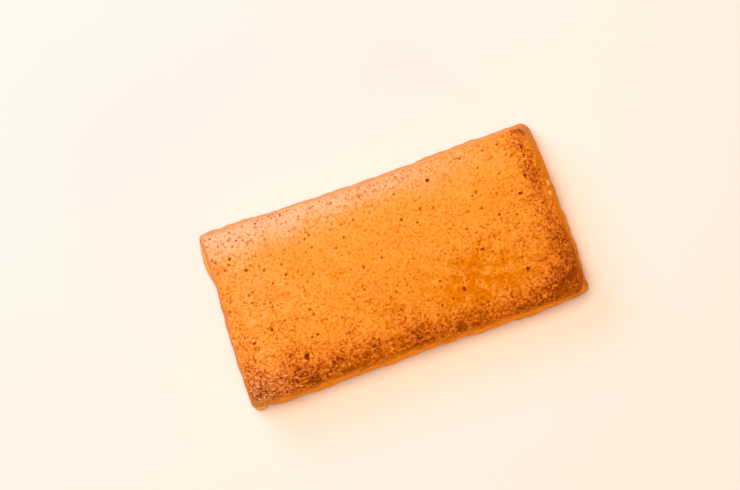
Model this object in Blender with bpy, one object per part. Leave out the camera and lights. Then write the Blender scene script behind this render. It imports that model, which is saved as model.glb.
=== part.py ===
"""A financier: a small almond cake baked in a shallow oblong tin.

It lies as such cakes are shown, with the face from the floor of the tin upwards, so its walls lean out
towards the table. The cake is one solid: a block with rounded shoulders, uneven walls and a slightly
bellied underside. Crumbs and flakes are fused to its edges, and chips and burst bubbles are cut out.

Units are metres and +Z is up. The origin is on the table under the middle of the cake, and +X runs
along it.
"""

import math
import random

import bmesh
import bpy
from mathutils import Vector, noise

MM = 0.001

# Driving dimensions, of the cake at its foot
LENGTH = 85.4 * MM
WIDTH = 44.5 * MM
HEIGHT = 16.5 * MM

# Section through a wall: shoulder, rounded rim, leaning wall with its lip, rounded foot, bellied underside
SHOULDER_WIDTH = 6.0 * MM
SHOULDER_DROP = 1.6 * MM
FACE_CROWN = 0.25 * MM
RIM_RADIUS = 1.2 * MM
RIM_START = math.atan(2 * SHOULDER_DROP / SHOULDER_WIDTH)
RIM_END = math.radians(84)
RIM_REACH = RIM_RADIUS * (math.sin(RIM_END) - math.sin(RIM_START))
WALL_LEAN = 1.2 * MM
LIP_SIZE = 0.15 * MM
LIP_SHARE = 0.22
FOOT_RADIUS = 1.8 * MM
UNDERSIDE_LIFT = 0.9 * MM
UNDERSIDE_SLOPE = 11.0 * MM

# Where the wall's section changes, as shares of its cells from the face's edge to the underside
RIM_SHARE = 0.20
WALL_SHARE = 0.70

# The face's edge lies this far inside the outline of the foot
FACE_INSET = WALL_LEAN + RIM_REACH

# Plan: each corner has its own radius and is pulled in, the ends are out of square and bowed in or out,
# and the long sides draw in at the middle. Corners are named by the signs of X and Y.
CORNER_RADII = {
    (-1, 1): 1.1 * MM,
    (1, 1): 1.9 * MM,
    (1, -1): 2.6 * MM,
    (-1, -1): 1.9 * MM,
}
CORNER_PULLS = {
    (-1, 1): 0.1 * MM,
    (1, 1): 0.5 * MM,
    (1, -1): 0.85 * MM,
    (-1, -1): 0.9 * MM,
}
CORNER_PULL_REACH = 8.0 * MM
LEFT_END_SKEW = 0.051
RIGHT_END_SKEW = 0.030
LEFT_END_BOW = -0.60 * MM
RIGHT_END_BOW = 0.05 * MM
FAR_SIDE_DRAW = 0.041
NEAR_SIDE_DRAW = 0.027

# Mesh: cells along each axis of the block, crowded towards the edges
CELLS = (50, 28, 10)
CROWDING = 1.35
SHARP_ANGLE = math.radians(40)

# Uneven crust: size of the swellings and of the smaller crags, each with its height, and the crags' own
# place in the noise
SWELL_SIZE = 11.0 * MM
SWELL_HEIGHT = 0.30 * MM
CRAG_SIZE = 3.0 * MM
CRAG_HEIGHT = 0.36 * MM
CRAG_ON_FACE = 0.17
CRAG_SHIFT = Vector((7.3, 1.9, 4.1))

# Crumbs, chips and bubbles are uneven balls, whose points lie between these shares of their half sizes
LUMP_SHARES = (0.88, 1.10)
CRUMB_SEED = 3
CHIP_SEED = 5
BUBBLE_SEED = 11

# Crumbs and flakes fused to the edges: place of the middle and half sizes, in millimetres
CRUMBS_MM = {
    "corner_crumb": ((-40.7, -21.0, 3.2), (1.5, 1.05, 1.5)),
    "end_lip_flake": ((-41.4, 15.4, 3.0), (0.85, 4.6, 1.2)),
    "far_flake": ((16.8, 20.7, 6.2), (1.9, 0.75, 1.7)),
    "near_crumb": ((-16.1, -21.0, 3.4), (0.7, 0.75, 0.9)),
    "end_crumb_near": ((40.8, 3.6, 14.0), (0.95, 0.85, 0.7)),
    "end_crumb_far": ((41.2, 6.1, 13.5), (0.8, 0.95, 0.75)),
}

# Chips broken out of the edges: place of the middle and half sizes, in millimetres
CHIPS_MM = {
    "end_lip_chip": ((-42.6, 8.3, 3.5), (2.3, 2.3, 9.0)),
    "end_shoulder_chip": ((43.4, 4.9, 14.2), (2.4, 2.3, 2.3)),
    "near_lip_chip": ((-30.6, -22.6, 2.8), (1.8, 1.05, 2.2)),
}

# The bubbles that stand out on the face: place, and half sizes along and across, in millimetres
FACE_BUBBLES_MM = (
    (-25.8, -14.0, 0.62, 0.92),
    (30.4, -11.7, 0.55, 0.55),
    (-32.6, 10.1, 0.50, 0.46),
    (38.6, 16.1, 0.55, 0.48),
    (37.1, 9.4, 0.60, 0.42),
    (34.6, 5.7, 0.62, 0.36),
    (14.9, 15.9, 0.60, 0.48),
    (21.8, -3.7, 0.56, 0.44),
    (14.6, -11.2, 0.40, 0.66),
    (-31.5, -5.2, 0.50, 0.54),
    (-36.6, -6.9, 0.56, 0.42),
    (-35.6, 13.8, 0.52, 0.48),
)
SMALL_BUBBLES = 16
SMALL_BUBBLE_RADIUS = (0.32 * MM, 0.44 * MM)
SMALL_BUBBLE_SPACING = 3.4 * MM
SMALL_BUBBLE_MARGIN = 3.0 * MM
BUBBLE_DEPTH = 0.9

CRUST_COLOUR = (0.80, 0.29, 0.035, 1.0)
CRUST_ROUGHNESS = 0.55


def clear_scene():
    for obj in list(bpy.data.objects):
        bpy.data.objects.remove(obj, do_unlink=True)


def new_collection(name):
    collection = bpy.data.collections.new(name)
    bpy.context.scene.collection.children.link(collection)
    return collection


def make_object(name, bm, collection):
    mesh = bpy.data.meshes.new(name)
    bm.to_mesh(mesh)
    bm.free()
    obj = bpy.data.objects.new(name, mesh)
    collection.objects.link(obj)
    return obj


def crust_material():
    material = bpy.data.materials.new("baked_crust")
    material.use_nodes = True
    shader = material.node_tree.nodes["Principled BSDF"]
    shader.inputs["Base Color"].default_value = CRUST_COLOUR
    shader.inputs["Roughness"].default_value = CRUST_ROUGHNESS
    shader.inputs["Metallic"].default_value = 0.0
    return material


def smooth_step(t):
    t = min(max(t, 0.0), 1.0)
    return t * t * (3.0 - 2.0 * t)


def crowd(t):
    """Moves a share from -1 to 1 towards the nearer end, so that cells are small at the edges."""
    return math.copysign(1.0 - (1.0 - abs(t)) ** CROWDING, t)


def in_plan(a, b, grown):
    """Place in plan of the block's point (a, b), on an outline grown by that much from the face's."""
    half = (LENGTH / 2 - FACE_INSET + grown, WIDTH / 2 - FACE_INSET + grown)
    flat = (crowd(a) * half[0], crowd(b) * half[1])
    radius = CORNER_RADII[(1 if a > 0 else -1, 1 if b > 0 else -1)]
    inner = [math.copysign(min(abs(f), h - radius), f) for f, h in zip(flat, half)]
    beyond = Vector((flat[0] - inner[0], flat[1] - inner[1]))
    if beyond.length > 0:
        beyond *= max(abs(beyond.x), abs(beyond.y)) / beyond.length
    return Vector((inner[0] + beyond.x, inner[1] + beyond.y))


def shoulder_rise(distance):
    """Share of the shoulder's height reached at this distance in from the edge of the face."""
    left = 1.0 - min(max(distance / SHOULDER_WIDTH, 0.0), 1.0)
    return 1.0 - left * left


def face_height(place):
    to_end = LENGTH / 2 - FACE_INSET - abs(place.x)
    to_side = WIDTH / 2 - FACE_INSET - abs(place.y)
    rise = shoulder_rise(to_end) * shoulder_rise(to_side)
    crown = 1.0 - (2 * place.x / LENGTH) ** 2 - (2 * place.y / WIDTH) ** 2
    return HEIGHT - FACE_CROWN - SHOULDER_DROP * (1.0 - rise) + FACE_CROWN * max(crown, 0.0)


def underside_height(place, inset):
    to_end = LENGTH / 2 - inset - abs(place.x)
    to_side = WIDTH / 2 - inset - abs(place.y)
    flatness = smooth_step(to_end / UNDERSIDE_SLOPE) * smooth_step(to_side / UNDERSIDE_SLOPE)
    return UNDERSIDE_LIFT * (1.0 - flatness)


def wall_section(share):
    """Growth of the outline and height at a share of the way from the face's edge to the underside."""
    edge = HEIGHT - FACE_CROWN - SHOULDER_DROP
    top = edge - RIM_RADIUS * (math.cos(RIM_START) - math.cos(RIM_END))
    foot = UNDERSIDE_LIFT + FOOT_RADIUS
    if share <= RIM_SHARE:
        turn = RIM_START + (RIM_END - RIM_START) * share / RIM_SHARE
        grown = RIM_RADIUS * (math.sin(turn) - math.sin(RIM_START))
        return grown, edge - RIM_RADIUS * (math.cos(RIM_START) - math.cos(turn))
    if share <= WALL_SHARE:
        down = (share - RIM_SHARE) / (WALL_SHARE - RIM_SHARE)
        lip = LIP_SIZE * smooth_step((down - 1.0 + LIP_SHARE) / LIP_SHARE)
        return RIM_REACH + WALL_LEAN * down + lip, top + (foot - top) * down
    turn = math.pi / 2 * (share - WALL_SHARE) / (1.0 - WALL_SHARE)
    grown = FACE_INSET + LIP_SIZE * math.cos(turn) - FOOT_RADIUS * (1.0 - math.cos(turn))
    return grown, foot - FOOT_RADIUS * math.sin(turn)


def block_point(corner):
    """Where a point of the two-unit cube goes on the cake, before the plan is made uneven."""
    a, b, c = corner
    on_wall = max(abs(a), abs(b)) > 1.0 - 1e-6
    if on_wall:
        grown, height = wall_section((1.0 - c) / 2)
        place = in_plan(a, b, grown)
        return Vector((place.x, place.y, height))
    if c > 0:
        place = in_plan(a, b, 0.0)
        return Vector((place.x, place.y, face_height(place)))
    place = in_plan(a, b, wall_section(1.0)[0])
    return Vector((place.x, place.y, underside_height(place, FOOT_RADIUS)))


def corner_pull(x, y):
    """How far a point in plan is moved in from each of the two sides that meet in its corner."""
    away = math.hypot(LENGTH / 2 - abs(x), WIDTH / 2 - abs(y))
    pull = CORNER_PULLS[(1 if x > 0 else -1, 1 if y > 0 else -1)]
    return pull * math.exp(-((away / CORNER_PULL_REACH) ** 2))


def draw_out_of_square(point):
    """Pulls the corners in, skews and bows the two ends, and draws the long sides in at the middle."""
    along = 2 * point.x / LENGTH
    across = 2 * point.y / WIDTH
    pull = corner_pull(point.x, point.y)
    skew, bow = (RIGHT_END_SKEW, RIGHT_END_BOW) if along > 0 else (LEFT_END_SKEW, LEFT_END_BOW)
    draw = FAR_SIDE_DRAW if across > 0 else NEAR_SIDE_DRAW
    outwards = bow * (1.0 - across * across) - skew * point.y - pull
    x = point.x + along * outwards
    y = point.y * (1.0 - draw * (1.0 - along * along) ** 2) - across * pull
    return Vector((x, y, point.z))


def off_the_table(point):
    """0 on the flat spot that the cake rests on, rising to 1 on the rest of the crust."""
    return smooth_step(point.z / UNDERSIDE_LIFT)


def roughen(bm):
    """Moves the crust in and out along its normals, in broad swellings and smaller crags."""
    bm.normal_update()
    moves = []
    for vert in bm.verts:
        swell = noise.noise(vert.co / SWELL_SIZE) * SWELL_HEIGHT
        crag = noise.noise(vert.co / CRAG_SIZE + CRAG_SHIFT) * CRAG_HEIGHT
        flatness = abs(vert.normal.z)
        crag *= 1.0 - (1.0 - CRAG_ON_FACE) * flatness
        moves.append(vert.normal * (swell + crag) * off_the_table(vert.co))
    for vert, move in zip(bm.verts, moves):
        vert.co += move


def cut_block_along(bm, axis, cells):
    """Splits every edge that runs along the axis, and so the faces, into that many cells."""
    edges = [e for e in bm.edges if abs(e.verts[0].co[axis] - e.verts[1].co[axis]) > 1e-6]
    bmesh.ops.subdivide_edges(bm, edges=edges, cuts=cells - 1, use_grid_fill=True)


def make_block(collection):
    bm = bmesh.new()
    bmesh.ops.create_cube(bm, size=2.0)
    for axis, cells in enumerate(CELLS):
        cut_block_along(bm, axis, cells)
    for vert in bm.verts:
        vert.co = draw_out_of_square(block_point(vert.co))
    roughen(bm)
    return make_object("financier_cake", bm, collection)


def make_lump(name, middle_mm, half_sizes_mm, collection, rng):
    """A small uneven ball, stretched to its half sizes. It serves as a crumb, a chip or a bubble."""
    bm = bmesh.new()
    bmesh.ops.create_icosphere(bm, subdivisions=2, radius=1.0)
    for vert in bm.verts:
        vert.co *= rng.uniform(*LUMP_SHARES)
    bmesh.ops.scale(bm, vec=Vector(half_sizes_mm) * MM, verts=bm.verts)
    lump = make_object(name, bm, collection)
    lump.location = Vector(middle_mm) * MM
    return lump


def make_lumps(table_mm, collection, rng):
    return [make_lump(name, *sizes, collection, rng) for name, sizes in table_mm.items()]


def fuse(cake, collection):
    """Joins the collection's solids to the cake for good, and removes them."""
    join = cake.modifiers.new("fuse_crumbs", "BOOLEAN")
    join.operation = "UNION"
    join.operand_type = "COLLECTION"
    join.collection = collection
    join.solver = "EXACT"
    bpy.context.view_layer.objects.active = cake
    bpy.ops.object.modifier_apply(modifier=join.name)
    for obj in list(collection.objects):
        bpy.data.objects.remove(obj, do_unlink=True)
    bpy.data.collections.remove(collection)


def face_bubble(name, x, y, half_x, half_y, collection, rng):
    """A burst bubble, as a lump whose widest section lies in the face."""
    place = Vector((x, y, 0.0))
    height = face_height(place)
    depth = BUBBLE_DEPTH * (half_x + half_y)
    sizes = Vector((half_x, half_y, depth)) / MM
    return make_lump(name, Vector((x, y, height)) / MM, sizes, collection, rng)


def small_bubble_places(rng):
    """Places spread over the face by rule: random, clear of each other and of the bubbles listed."""
    taken = [Vector((x, y)) * MM for x, y, _, _ in FACE_BUBBLES_MM]
    listed = len(taken)
    reach = (LENGTH / 2 - SMALL_BUBBLE_MARGIN, WIDTH / 2 - SMALL_BUBBLE_MARGIN)
    while len(taken) < listed + SMALL_BUBBLES:
        # the square root crowds the bubbles towards the two ends, where the face has most
        end = math.copysign(math.sqrt(rng.random()), rng.random() - 0.5)
        place = Vector((end * reach[0], rng.uniform(-1.0, 1.0) * reach[1]))
        if all((place - other).length > SMALL_BUBBLE_SPACING for other in taken):
            taken.append(place)
    return taken[listed:]


def make_bubbles(collection):
    rng = random.Random(BUBBLE_SEED)
    for number, (x, y, half_x, half_y) in enumerate(FACE_BUBBLES_MM):
        face_bubble(f"bubble_{number}", x * MM, y * MM, half_x * MM, half_y * MM, collection, rng)
    for number, place in enumerate(small_bubble_places(rng)):
        radius = rng.uniform(*SMALL_BUBBLE_RADIUS)
        face_bubble(f"small_bubble_{number}", place.x, place.y, radius, radius, collection, rng)


def cut(cake, collection):
    """Cuts the collection's solids out of the cake. They stay as hidden cutters that go with it."""
    for cutter in collection.objects:
        cutter.parent = cake
        cutter.hide_render = True
        cutter.display_type = "WIRE"
    chip = cake.modifiers.new("cut_bubbles_and_chips", "BOOLEAN")
    chip.operation = "DIFFERENCE"
    chip.operand_type = "COLLECTION"
    chip.collection = collection
    chip.solver = "EXACT"


def set_on_table(cake):
    """Puts the middle of the cake's box over the origin and its underside on the table."""
    corners = [vert.co for vert in cake.data.vertices]
    low = Vector(min(co[axis] for co in corners) for axis in range(3))
    high = Vector(max(co[axis] for co in corners) for axis in range(3))
    cake.location = (-(low.x + high.x) / 2, -(low.y + high.y) / 2, -low.z)


def make_financier():
    clear_scene()
    parts = new_collection("financier")
    crumbs = new_collection("fused_crumbs")
    cutters = new_collection("cutters")
    cake = make_block(parts)
    cake.data.materials.append(crust_material())
    make_lumps(CRUMBS_MM, crumbs, random.Random(CRUMB_SEED))
    fuse(cake, crumbs)
    make_lumps(CHIPS_MM, cutters, random.Random(CHIP_SEED))
    make_bubbles(cutters)
    cut(cake, cutters)
    cake.data.shade_smooth()
    cake.data.set_sharp_from_angle(angle=SHARP_ANGLE)
    set_on_table(cake)


make_financier()
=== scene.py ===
"""The looks of a financier, a small almond cake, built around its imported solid.

The cake lies with the face from the floor of the tin upwards. Its crust is one fine mesh: the form of
the solid, from the same named sizes, with the solid's bubbles and chips, and then the crumb's own relief
and pits from a Geometry Nodes tree. Crumbs fused to the edges and the grains of the crumb are pieces of
their own. Units are metres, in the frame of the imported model.
"""

from __future__ import annotations

import logging
import math
import random
from dataclasses import dataclass, field
from enum import Enum
from functools import reduce
from typing import Iterable, Union

import bmesh
import bpy
import numpy as np
from mathutils import Matrix, Vector, noise

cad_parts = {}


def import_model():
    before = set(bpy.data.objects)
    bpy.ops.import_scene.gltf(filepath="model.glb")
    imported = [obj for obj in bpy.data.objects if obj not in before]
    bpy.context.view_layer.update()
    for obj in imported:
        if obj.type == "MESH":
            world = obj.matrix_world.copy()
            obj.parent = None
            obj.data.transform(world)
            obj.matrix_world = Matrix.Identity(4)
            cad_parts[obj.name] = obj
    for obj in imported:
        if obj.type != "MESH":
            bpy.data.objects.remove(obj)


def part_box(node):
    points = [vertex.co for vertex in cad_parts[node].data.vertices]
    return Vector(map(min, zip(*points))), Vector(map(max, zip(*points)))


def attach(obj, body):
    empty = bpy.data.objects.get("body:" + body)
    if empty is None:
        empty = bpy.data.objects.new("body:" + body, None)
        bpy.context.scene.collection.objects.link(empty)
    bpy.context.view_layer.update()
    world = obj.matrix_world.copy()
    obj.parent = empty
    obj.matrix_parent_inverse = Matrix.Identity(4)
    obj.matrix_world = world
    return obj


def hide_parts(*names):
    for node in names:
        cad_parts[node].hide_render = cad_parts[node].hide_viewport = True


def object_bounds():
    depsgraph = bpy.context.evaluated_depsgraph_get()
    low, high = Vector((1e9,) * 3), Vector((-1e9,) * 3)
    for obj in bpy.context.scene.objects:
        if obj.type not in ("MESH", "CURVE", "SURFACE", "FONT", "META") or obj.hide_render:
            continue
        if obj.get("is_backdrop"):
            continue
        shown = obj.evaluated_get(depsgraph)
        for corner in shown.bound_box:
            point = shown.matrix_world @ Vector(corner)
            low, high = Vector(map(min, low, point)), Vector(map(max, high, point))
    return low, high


MM = 0.001
GRAIN_SIZE_MM = 0.75
LOG = logging.getLogger("financier")

Colour = tuple[float, float, float]
Array = np.ndarray
Socket = bpy.types.NodeSocket
Value = Union[Socket, float, int, str, Colour]
SOCKET_KINDS = {float: "NodeSocketFloat", int: "NodeSocketInt", bpy.types.Material: "NodeSocketMaterial"}


class Node(str, Enum):
    """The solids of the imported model, by their names."""

    CAKE = "financier_cake"


class Slot(str, Enum):
    """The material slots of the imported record."""

    CRUST = "baked_crust"


class Field(str, Enum):
    """What the crust's mesh says at each point for its finish and for the node trees."""

    BROWNING = "browning"
    WALL = "wall"
    # painted shade in the pits: the share of the pit colour at each point
    PIT = "pit"
    FREE = "free"
    PIT_SHARE = "pit_share"
    GRAIN_SHARE = "grain_share"
    BUTTER = "butter"
    # pale crumb colour: real at the chips, painted light on the far and left rims
    BROKEN = "broken"
    TINT = "tint"
    GLOSS = "gloss"
    # painted sheen: a paler colour on the far shoulder, the left end and the near-left corner
    BLOOM = "bloom"
    ZONE = "zone"


class Zone(Enum):
    """The parts of the crust that become pieces of their own, by their number in the mesh."""

    FACE = 0
    WALLS = 1
    UNDERSIDE = 2


def smooth_step(share: Array) -> Array:
    """Returns 0 to 1 for a share from 0 to 1, level at both ends."""
    share = np.clip(share, 0.0, 1.0)
    return share * share * (3.0 - 2.0 * share)


def bell(distance: Array, width: float) -> Array:
    """Returns 1 at no distance, falling off over the width."""
    return np.exp(-((distance / width) ** 2))


def together(*shares: Array) -> Array:
    """Returns what shares from 0 to 1 come to where they lie over one another."""
    return 1.0 - reduce(lambda left, share: left * (1.0 - share), shares, 1.0)


def lumpy(points: Array, size: float, shift: Vector = Vector((0.0, 0.0, 0.0))) -> Array:
    """Samples smooth noise at many points.

    Args:
        points: The points, one in each row.
        size: How far apart the lumps of the noise are.
        shift: Moves the pattern, so that two layers of one size differ.

    Returns:
        One value from about -1 to 1 for each point.
    """
    return np.array([noise.noise(Vector(point) / size + shift) for point in points])


@dataclass
class Graph:
    """Adds nodes to a tree and joins them, so that a tree reads as a list of steps.

    Args:
        tree: A shader tree or a Geometry Nodes tree.
    """

    tree: bpy.types.NodeTree

    def add(
        self, kind: str, inputs: dict[str | int, Value] | None = None, **settings: object
    ) -> bpy.types.Node:
        """Adds a node.

        Args:
            kind: The type of the node.
            inputs: What goes into its inputs, by their names or places.
            **settings: Its other settings.

        Returns:
            The node.
        """
        node = self.tree.nodes.new(kind)
        for name, setting in settings.items():
            setattr(node, name, setting)
        for place, value in (inputs or {}).items():
            self.feed(node.inputs[place], value)
        return node

    def feed(self, socket: Socket, value: Value) -> None:
        """Links a value to an input, or sets the input if the value is a plain one.

        Args:
            socket: The input.
            value: What goes in, which for a plain colour has no alpha.
        """
        if isinstance(value, bpy.types.NodeSocket):
            self.tree.links.new(value, socket)
        elif isinstance(value, tuple) and len(socket.default_value) == 4:
            socket.default_value = (*value, 1.0)
        else:
            socket.default_value = value

    def math(self, operation: str, first: Value, second: Value = 0.0, clamp: bool = False) -> Socket:
        """Returns the result of a Math node on one or two values."""
        inputs = {0: first, 1: second}
        return self.add("ShaderNodeMath", inputs, operation=operation, use_clamp=clamp).outputs[0]

    def total(self, *terms: Value) -> Socket:
        """Returns the sum of all the terms."""
        return reduce(lambda one, other: self.math("ADD", one, other), terms)

    def times(self, *factors: Value) -> Socket:
        """Returns the product of all the factors."""
        return reduce(lambda one, other: self.math("MULTIPLY", one, other), factors)

    def swing(self, value: Value, height: float) -> Socket:
        """Turns a noise value about a half into a value about zero that swings by that height."""
        return self.times(self.math("SUBTRACT", value, 0.5), 2.0 * height)

    def scaled(self, vector: Value, factor: Value) -> Socket:
        """Returns the vector times the factor."""
        return self.add("ShaderNodeVectorMath", {0: vector, "Scale": factor}, operation="SCALE").outputs[0]

    def noise(
        self, place: Socket, size: float, detail: float = 2.0, roughness: float = 0.5, twist: float = 0.0
    ) -> Socket:
        """Samples a Noise Texture.

        Args:
            place: The point to sample at.
            size: How far apart the lumps are, in the place's own units.
            detail: How many finer layers there are.
            roughness: How strong the finer layers are.
            twist: How far the pattern is bent by itself.

        Returns:
            The noise, which stays around a half.
        """
        inputs = {
            "Vector": place,
            "Scale": 1.0 / size,
            "Detail": detail,
            "Roughness": roughness,
            "Distortion": twist,
        }
        return self.add("ShaderNodeTexNoise", inputs).outputs[0]

    def grain(self, place: Socket) -> Socket:
        """Returns the noise of the crumb's grain at a place in millimetres, high where it is brown."""
        return self.noise(place, GRAIN_SIZE_MM, detail=3.0, roughness=0.62, twist=0.15)

    def span(self, value: Value, low: float, high: float, start: float = 0.0, end: float = 1.0) -> Socket:
        """Maps a value from low..high to start..end with soft ends, and returns it."""
        inputs = {"Value": value, "From Min": low, "From Max": high, "To Min": start, "To Max": end}
        return self.add("ShaderNodeMapRange", inputs, interpolation_type="SMOOTHSTEP").outputs[0]

    def ramp(self, value: Value, stops: dict[float, Colour]) -> Socket:
        """Turns a value into a colour.

        Args:
            value: The value.
            stops: The colour at each stop of the ramp, by the value it belongs to.

        Returns:
            The colour, which goes smoothly from stop to stop.
        """
        node = self.add("ShaderNodeValToRGB", {0: value})
        band = node.color_ramp
        band.interpolation = "B_SPLINE"
        while len(band.elements) < len(stops):
            band.elements.new(0.5)
        for element, (place, colour) in zip(band.elements, stops.items()):
            element.position = place
            element.color = (*colour, 1.0)
        return node.outputs[0]

    def blend(self, share: Value, first: Value, second: Value, kind: str = "MIX") -> Socket:
        """Blends two colours.

        Args:
            share: How much of the second there is, from 0 to 1.
            first: The first colour.
            second: The second colour.
            kind: The way of blending.

        Returns:
            The blended colour.
        """
        node = self.add("ShaderNodeMix", {"Factor": share}, data_type="RGBA", blend_type=kind)
        one, other = self.of_type(node.inputs, "RGBA")
        self.feed(one, first)
        self.feed(other, second)
        return self.of_type(node.outputs, "RGBA")[0]

    @staticmethod
    def of_type(sockets: Iterable[Socket], kind: str) -> list[Socket]:
        """Returns those sockets of a node that have the type."""
        return [socket for socket in sockets if socket.type == kind]

    def attribute(self, name: Field) -> Socket:
        """Returns a field of the mesh as a number, in a material."""
        return self.add("ShaderNodeAttribute", attribute_name=name.value).outputs["Fac"]

    def named(self, name: Field) -> Socket:
        """Returns a field of the mesh as a number, in a Geometry Nodes tree."""
        inputs = {"Name": name.value}
        return self.add("GeometryNodeInputNamedAttribute", inputs, data_type="FLOAT").outputs["Attribute"]

    def store(self, geometry: Socket, name: Field, value: Socket) -> Socket:
        """Returns the geometry with the value stored at its points as a field."""
        inputs = {"Geometry": geometry, "Name": name.value, "Value": value}
        return self.add("GeometryNodeStoreNamedAttribute", inputs, data_type="FLOAT").outputs["Geometry"]

    def strew(self, mesh: Socket, spacing: Value, density: float, share: Field, seed: Value) -> Socket:
        """Strews points over a mesh at random.

        Args:
            mesh: The mesh.
            spacing: The least distance between two points.
            density: How many points there are on a square metre where they lie thickest.
            share: The field that says how thick they lie at each place.
            seed: The seed of the draw.

        Returns:
            The points.
        """
        inputs = {
            "Mesh": mesh,
            "Distance Min": spacing,
            "Density Max": density,
            "Density Factor": self.named(share),
            "Seed": seed,
        }
        node = self.add("GeometryNodeDistributePointsOnFaces", inputs, distribute_method="POISSON")
        return node.outputs["Points"]

    def draw(self, seed: Value, low: Value, high: Value, index: Socket | None = None) -> Socket:
        """Draws a number at random, or a vector if the ends are vectors.

        Args:
            seed: The seed of the draw.
            low: The low end.
            high: The high end.
            index: Which draw it is, where that isn't the number of the point itself.

        Returns:
            The number or vector.
        """
        kind, data = ("VECTOR", "FLOAT_VECTOR") if isinstance(low, tuple) else ("VALUE", "FLOAT")
        node = self.add("FunctionNodeRandomValue", {"Seed": seed}, data_type=data)
        ends = self.of_type(node.inputs, kind)
        self.feed(ends[0], low)
        self.feed(ends[1], high)
        if index is not None:
            self.feed(node.inputs["ID"], index)
        return self.of_type(node.outputs, kind)[0]


@dataclass(frozen=True)
class CakeForm:
    """The form of the cake, with the same sizes as its solid."""

    length: float = 85.4 * MM
    width: float = 44.5 * MM
    height: float = 16.5 * MM
    shoulder_width: float = 6.0 * MM
    shoulder_drop: float = 1.6 * MM
    face_crown: float = 0.25 * MM
    rim_radius: float = 1.2 * MM
    rim_end: float = math.radians(84)
    wall_lean: float = 1.2 * MM
    lip_size: float = 0.15 * MM
    lip_share: float = 0.22
    foot_radius: float = 1.8 * MM
    underside_lift: float = 0.9 * MM
    underside_slope: float = 11.0 * MM
    left_far_radius: float = 1.1 * MM
    right_far_radius: float = 1.9 * MM
    right_near_radius: float = 2.6 * MM
    left_near_radius: float = 1.9 * MM
    left_far_pull: float = 0.1 * MM
    right_far_pull: float = 0.5 * MM
    right_near_pull: float = 0.85 * MM
    left_near_pull: float = 0.9 * MM
    pull_reach: float = 8.0 * MM
    left_skew: float = 0.051
    right_skew: float = 0.030
    left_bow: float = -0.60 * MM
    right_bow: float = 0.05 * MM
    far_draw: float = 0.041
    near_draw: float = 0.027
    swell_size: float = 11.0 * MM
    swell_height: float = 0.30 * MM
    crag_size: float = 3.0 * MM
    crag_height: float = 0.36 * MM
    crag_on_face: float = 0.17
    cells: tuple[int, int, int] = (400, 206, 44)
    rim_share: float = 0.11
    wall_share: float = 0.84

    @property
    def rim_start(self) -> float:
        """The slope, as an angle, at which the shoulder meets the rim."""
        return math.atan(2 * self.shoulder_drop / self.shoulder_width)

    @property
    def rim_reach(self) -> float:
        """How far the rounded rim reaches out from the edge of the face."""
        return self.rim_radius * (math.sin(self.rim_end) - math.sin(self.rim_start))

    @property
    def face_inset(self) -> float:
        """How far the edge of the face lies inside the outline of the foot."""
        return self.wall_lean + self.rim_reach

    def corner_radius(self, a: Array, b: Array) -> Array:
        """Says how round the plan's corner is in the quarter of each point.

        Args:
            a: Shares along the cake, from -1 to 1.
            b: Shares across it.

        Returns:
            The radius at each point.
        """
        far = np.where(a > 0, self.right_far_radius, self.left_far_radius)
        near = np.where(a > 0, self.right_near_radius, self.left_near_radius)
        return np.where(b > 0, far, near)

    def corner_pull(self, x: Array, y: Array) -> Array:
        """Says how far points are moved in from the two sides that meet in their corner.

        Args:
            x: Places along the cake.
            y: Places across it.

        Returns:
            The pull at each point.
        """
        far = np.where(x > 0, self.right_far_pull, self.left_far_pull)
        near = np.where(x > 0, self.right_near_pull, self.left_near_pull)
        away = np.hypot(self.length / 2 - np.abs(x), self.width / 2 - np.abs(y))
        return np.where(y > 0, far, near) * bell(away, self.pull_reach)

    def in_plan(self, a: Array, b: Array, grown: Array) -> tuple[Array, Array]:
        """Places points of the block in plan.

        Args:
            a: Shares along the cake, from -1 to 1.
            b: Shares across it.
            grown: How far each point's outline lies outside the edge of the face.

        Returns:
            The points' X and Y.
        """
        half_x = self.length / 2 - self.face_inset + grown
        half_y = self.width / 2 - self.face_inset + grown
        x = a * half_x
        y = b * half_y
        radius = self.corner_radius(a, b)
        inner_x = np.copysign(np.minimum(np.abs(x), half_x - radius), x)
        inner_y = np.copysign(np.minimum(np.abs(y), half_y - radius), y)
        beyond = np.hypot(x - inner_x, y - inner_y)
        longer = np.maximum(np.abs(x - inner_x), np.abs(y - inner_y))
        factor = longer / np.maximum(beyond, 1e-9)
        return inner_x + (x - inner_x) * factor, inner_y + (y - inner_y) * factor

    def from_edges(self, x: Array, y: Array, inset: float) -> tuple[Array, Array]:
        """Returns how far points lie inside the ends and inside the sides of an inset outline."""
        return self.length / 2 - inset - np.abs(x), self.width / 2 - inset - np.abs(y)

    def shoulder_rise(self, distance: Array) -> Array:
        """Returns the share of the shoulder's height reached this far in from the face's edge."""
        left = 1.0 - np.clip(distance / self.shoulder_width, 0.0, 1.0)
        return 1.0 - left * left

    def face_height(self, x: Array, y: Array) -> Array:
        """Says how high the face lies.

        Args:
            x: Places along the cake.
            y: Places across it.

        Returns:
            The height at each point.
        """
        to_end, to_side = self.from_edges(x, y, self.face_inset)
        rise = self.shoulder_rise(to_end) * self.shoulder_rise(to_side)
        crown = 1.0 - (2 * x / self.length) ** 2 - (2 * y / self.width) ** 2
        top = self.height - self.face_crown
        return top - self.shoulder_drop * (1.0 - rise) + self.face_crown * np.maximum(crown, 0.0)

    def underside_height(self, x: Array, y: Array) -> Array:
        """Says how high the bellied underside lies.

        Args:
            x: Places along the cake.
            y: Places across it.

        Returns:
            The height at each point.
        """
        to_end, to_side = self.from_edges(x, y, self.foot_radius)
        flatness = smooth_step(to_end / self.underside_slope) * smooth_step(to_side / self.underside_slope)
        return self.underside_lift * (1.0 - flatness)

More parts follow.
